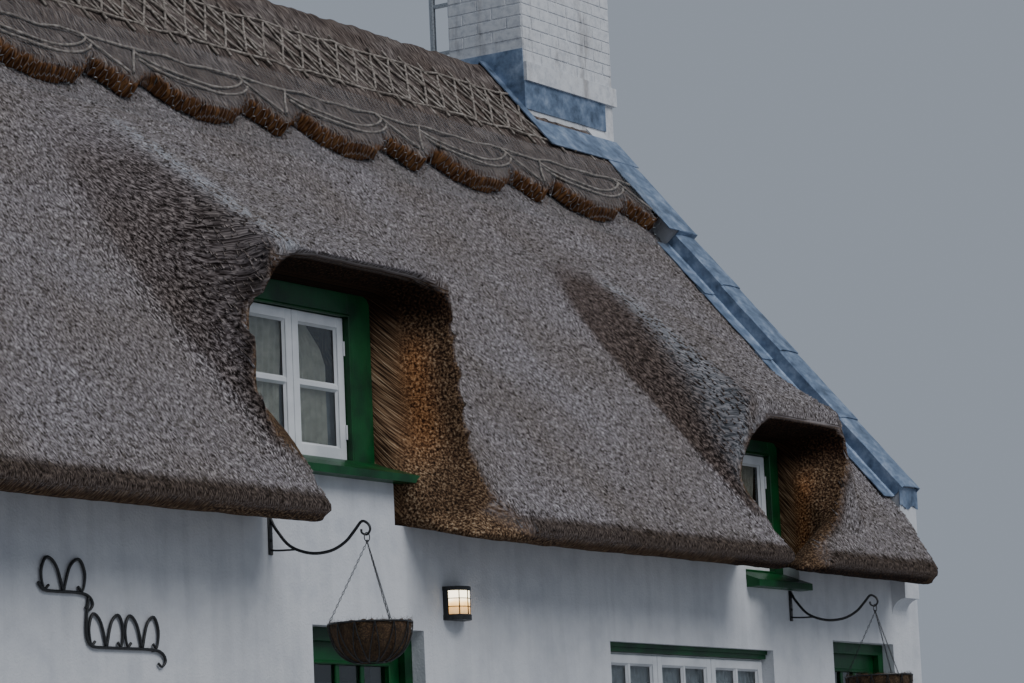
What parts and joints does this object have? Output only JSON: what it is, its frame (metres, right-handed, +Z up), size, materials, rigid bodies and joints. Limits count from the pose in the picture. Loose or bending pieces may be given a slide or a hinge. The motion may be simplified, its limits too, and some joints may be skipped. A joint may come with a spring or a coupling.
{
  "type": "thatched cottage",
  "caption": "Rendered cottage under deep thatch with eyebrow dormers, a scalloped ridge, a lead-coped parapet and a chimney; its front doors open.",
  "frame": {"origin": "centre of the ground floor underside", "axes": "+X along the front to the right, +Y from front to back, +Z up"},
  "size_m": [11.34, 6.177, 8.35],
  "materials": {
    "thatch": "weathered reed",
    "ridge_thatch": "netted straw",
    "lime_render": "limewashed render",
    "painted_brick": "painted brick",
    "floor_screed": "screed",
    "floor_boards": "boards",
    "clay_pot": "fired clay",
    "lead": "weathered lead",
    "galvanised_steel": "galvanised",
    "green_paint": "gloss paint",
    "white_paint": "gloss paint",
    "glass": "window glass",
    "black_iron": "painted wrought iron",
    "coir": "coir liner"
  },
  "bodies": {
    "house": {"thatch_front": "thatch", "thatch_rear": "thatch", "ridge_cap": "ridge_thatch", "left_party_wall": "lime_render", "right_party_wall": "lime_render", "parapet_corbel": "lime_render", "front_wall_left": "lime_render", "front_wall_over_door_1": "lime_render", "front_wall_middle": "lime_render", "front_wall_over_door_2": "lime_render", "rear_wall": "lime_render", "ground_floor": "floor_screed", "upper_floor": "floor_boards", "chimney_stack": "painted_brick", "chimney_drip_band": "painted_brick", "chimney_pots": "clay_pot", "lead_cope_front": "lead", "lead_cope_rear": "lead", "chimney_flashing": "lead", "aerial_mast": "galvanised_steel", "door_1_frame": "green_paint", "door_2_frame": "green_paint", "front_window_frame": "white_paint", "front_window_glass": "glass", "front_window_head": "green_paint", "left_window_frame": "white_paint", "left_window_glass": "glass", "left_window_head": "green_paint", "rear_window_frame": "white_paint", "rear_window_glass": "glass", "dormer_1_frame": "green_paint", "dormer_1_glass": "glass", "dormer_1_sill": "green_paint", "dormer_2_frame": "green_paint", "dormer_2_glass": "glass", "dormer_2_sill": "green_paint", "rear_dormer_1_frame": "green_paint", "rear_dormer_1_glass": "glass", "rear_dormer_2_frame": "green_paint", "rear_dormer_2_glass": "glass", "basket_1_bracket": "black_iron", "basket_1": "coir", "basket_2_bracket": "black_iron", "basket_2": "coir", "lantern": "black_iron", "scroll_ornament": "black_iron"},
    "door_1": {"door_1_leaf": "green_paint", "door_1_glass": "glass"},
    "door_2": {"door_2_leaf": "green_paint", "door_2_glass": "glass"}
  },
  "joints": [
    {"name": "door_1_hinge", "type": "hinge", "parent": "house", "child": "door_1", "pos_m": [-1.0185, -2.277, 1], "axis": [0, 0, 1], "range_deg": [0, 100]},
    {"name": "door_2_hinge", "type": "hinge", "parent": "house", "child": "door_2", "pos_m": [5.2055, -2.277, 1], "axis": [0, 0, -1], "range_deg": [0, 90]}
  ]
}
